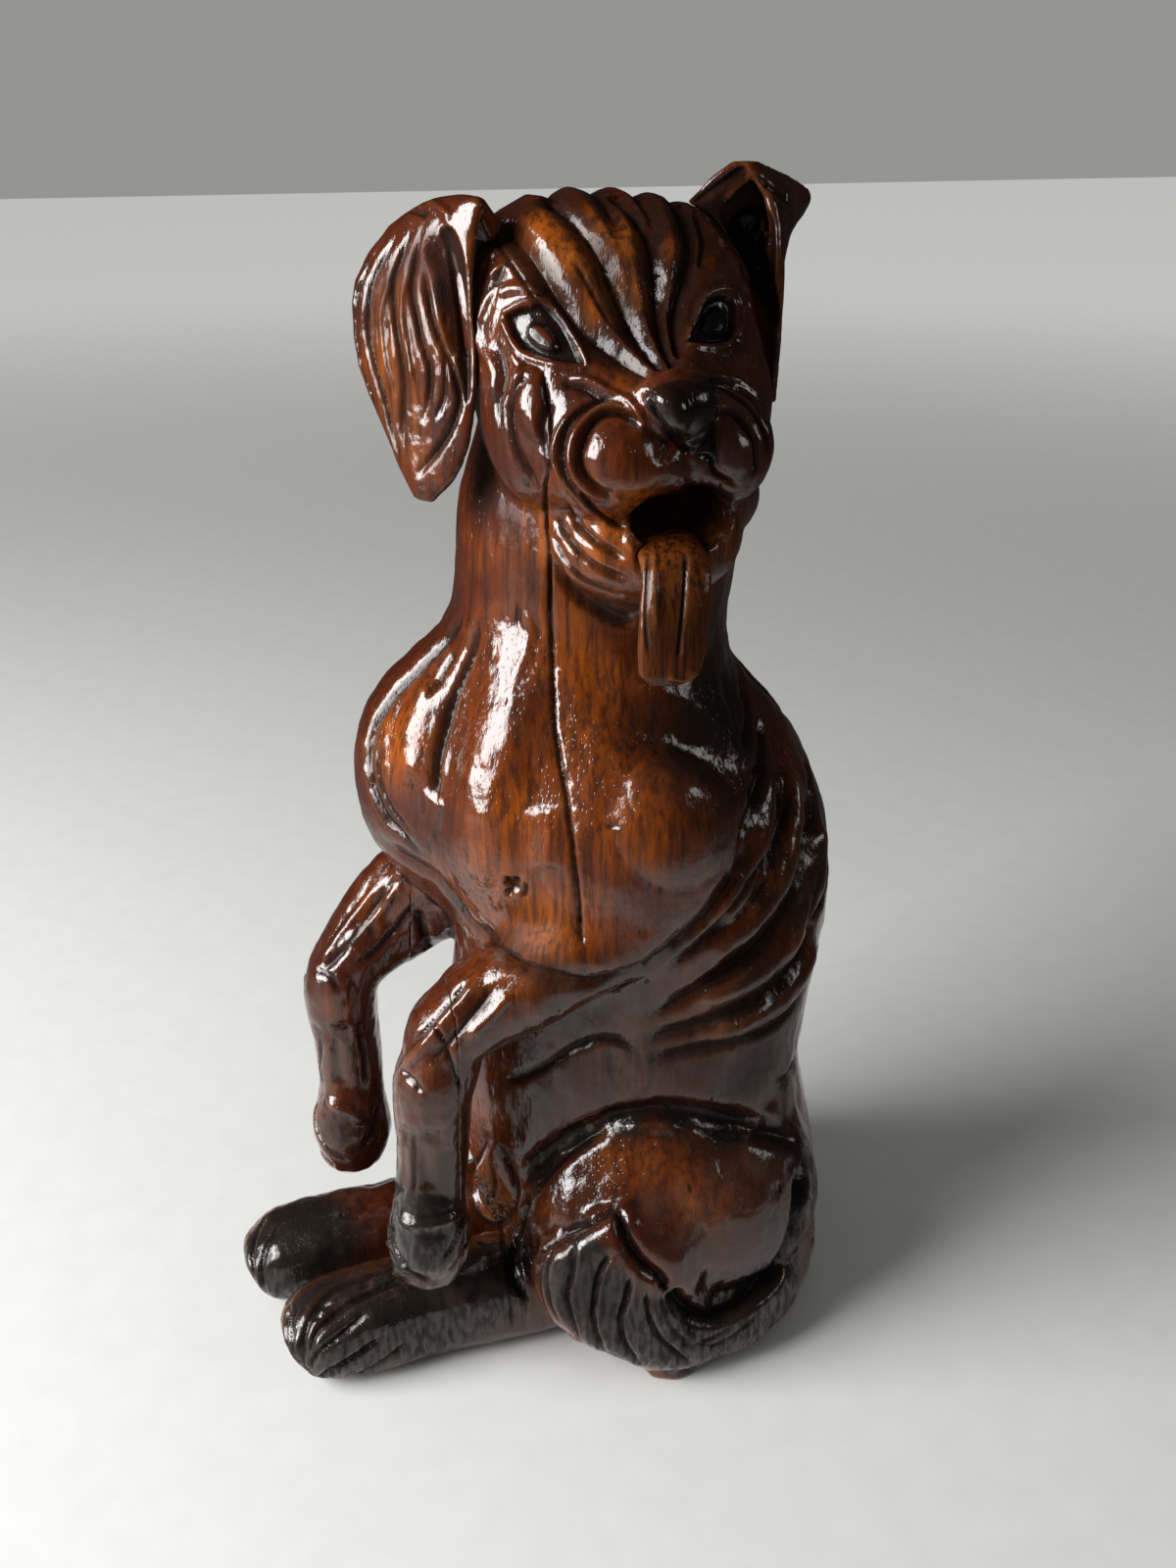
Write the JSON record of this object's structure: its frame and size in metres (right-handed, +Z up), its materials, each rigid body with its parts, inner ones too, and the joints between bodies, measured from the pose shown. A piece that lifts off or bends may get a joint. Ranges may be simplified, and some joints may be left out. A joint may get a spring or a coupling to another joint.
{
  "type": "carved wooden dog ornament",
  "caption": "Carved and varnished wooden dog sitting up, head turned to its left, mouth open with a tongue, glued-on forelegs, hind feet and ears, tail curled round one thigh.",
  "frame": {"origin": "middle of the flat underside of the log", "axes": "+Z up; the hind feet point along -Y; +X is the dog's own left, the side the head is turned to"},
  "size_m": [0.1717, 0.2617, 0.4765],
  "materials": {
    "varnished_wood": "red-brown stain under gloss varnish",
    "dark_stained_wood": "near-black stain under gloss varnish",
    "ear_wood": "red-brown stain under gloss varnish",
    "tongue_wood": "orange-brown stain under gloss varnish",
    "plain_wood": "bare"
  },
  "bodies": {
    "root": {"carved_log": "varnished_wood", "left_foreleg": "varnished_wood", "right_foreleg": "varnished_wood", "left_hind_foot": "dark_stained_wood", "right_hind_foot": "dark_stained_wood", "left_ear": "ear_wood", "right_ear": "ear_wood", "tongue": "tongue_wood", "left_foreleg_dowel": "plain_wood", "right_foreleg_dowel": "plain_wood", "left_foot_dowel": "plain_wood", "right_foot_dowel": "plain_wood", "left_ear_dowel": "plain_wood", "right_ear_dowel": "plain_wood"}
  },
  "joints": []
}
